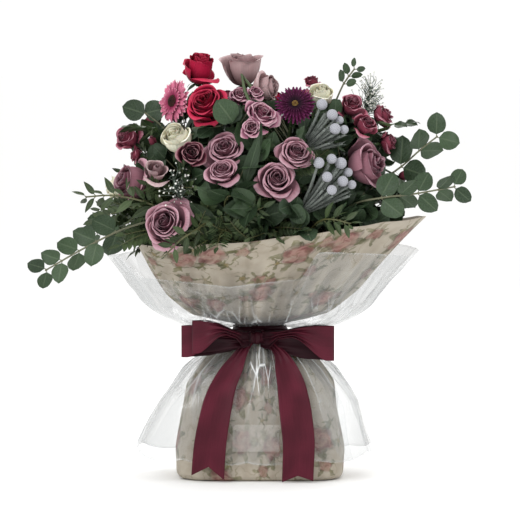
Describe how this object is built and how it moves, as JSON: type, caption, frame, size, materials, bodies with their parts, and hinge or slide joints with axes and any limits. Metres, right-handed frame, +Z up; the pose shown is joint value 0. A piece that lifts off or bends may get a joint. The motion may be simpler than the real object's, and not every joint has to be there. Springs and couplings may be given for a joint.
{
  "type": "gift-wrapped flower bouquet",
  "caption": "Hand-tied mixed bouquet of roses, spray roses and foliage in a flat-based printed paper wrap and clear film, with a satin bow.",
  "frame": {"origin": "middle of the flat underside of the paper wrap, on which the wrapped bouquet stands", "axes": "+Z up along the bound stems, +X to the right seen from the bow, +Y to the back; the bow faces -Y"},
  "size_m": [0.4797, 0.3172, 0.4664],
  "materials": {
    "printed_paper": "matt, with a floral print in dusty pink and olive on ivory",
    "clear_film": "glossy, clear and crinkled",
    "clear_bag": "glossy and clear",
    "twine": "matt, twisted fibres",
    "frosted_label": "frosted and blank",
    "burgundy_satin": "satin sheen with a woven edge",
    "cerise_petal": "velvety",
    "cream_petal": "soft, faintly translucent",
    "lilac_petal": "soft, darker at the rims",
    "mauve_petal": "soft, paler on the backs of the petals",
    "pink_petal": "soft, finely streaked",
    "plum_petal": "velvety, with a gold eye",
    "pale_petal": "soft",
    "silver_brunia": "felted and knobbly",
    "eucalyptus_leaf": "waxy with a grey-blue bloom",
    "green_leaf": "smooth, slightly glossy",
    "white_blossom": "matt"
  },
  "bodies": {
    "root": {"aster_purple": "plum_petal", "binding_twine": "twine", "bow_knot": "burgundy_satin", "bow_loop_left_back": "burgundy_satin", "bow_loop_left_front": "burgundy_satin", "bow_loop_right": "burgundy_satin", "bow_tail_left": "burgundy_satin", "bow_tail_right": "burgundy_satin", "brunia_back": "silver_brunia", "brunia_lower": "silver_brunia", "brunia_upper": "silver_brunia", "clear_film_wrap": "clear_film", "eucalyptus_back": "eucalyptus_leaf", "eucalyptus_left": "eucalyptus_leaf", "eucalyptus_right": "eucalyptus_leaf", "eucalyptus_right_upper": "eucalyptus_leaf", "eucalyptus_round_left": "eucalyptus_leaf", "eucalyptus_twig_top": "eucalyptus_leaf", "frosted_label": "frosted_label", "gerbera_back": "pink_petal", "gerbera_pink": "pink_petal", "gypsophila_left": "white_blossom", "gypsophila_right": "white_blossom", "lisianthus_pale": "pale_petal", "pistacia_front": "green_leaf", "pistacia_left": "green_leaf", "pistacia_right": "green_leaf", "ribbon_band": "burgundy_satin", "rose_cerise_back": "cerise_petal", "rose_cerise_front": "cerise_petal", "rose_cerise_top": "cerise_petal", "rose_cream_back": "cream_petal", "rose_cream_back_right": "cream_petal", "rose_cream_left": "cream_petal", "rose_cream_side": "cream_petal", "rose_cream_top": "cream_petal", "rose_lilac_back_left": "lilac_petal", "rose_lilac_back_middle": "lilac_petal", "rose_lilac_back_right": "lilac_petal", "rose_lilac_centre": "lilac_petal", "rose_lilac_left": "lilac_petal", "rose_lilac_low_centre": "lilac_petal", "rose_lilac_low_left": "lilac_petal", "rose_lilac_middle": "lilac_petal", "rose_lilac_middle_right": "lilac_petal", "rose_lilac_right": "lilac_petal", "rose_lilac_top": "lilac_petal", "rose_lilac_top_right": "lilac_petal", "salal_back": "green_leaf", "salal_front": "green_leaf", "spray_rose_back": "mauve_petal", "spray_rose_back_side": "mauve_petal", "spray_rose_centre": "mauve_petal", "spray_rose_far_right": "mauve_petal", "spray_rose_left": "mauve_petal", "spray_rose_plum": "mauve_petal", "spray_rose_right": "mauve_petal", "water_bag": "clear_bag", "wrapping_paper": "printed_paper"}
  },
  "joints": []
}
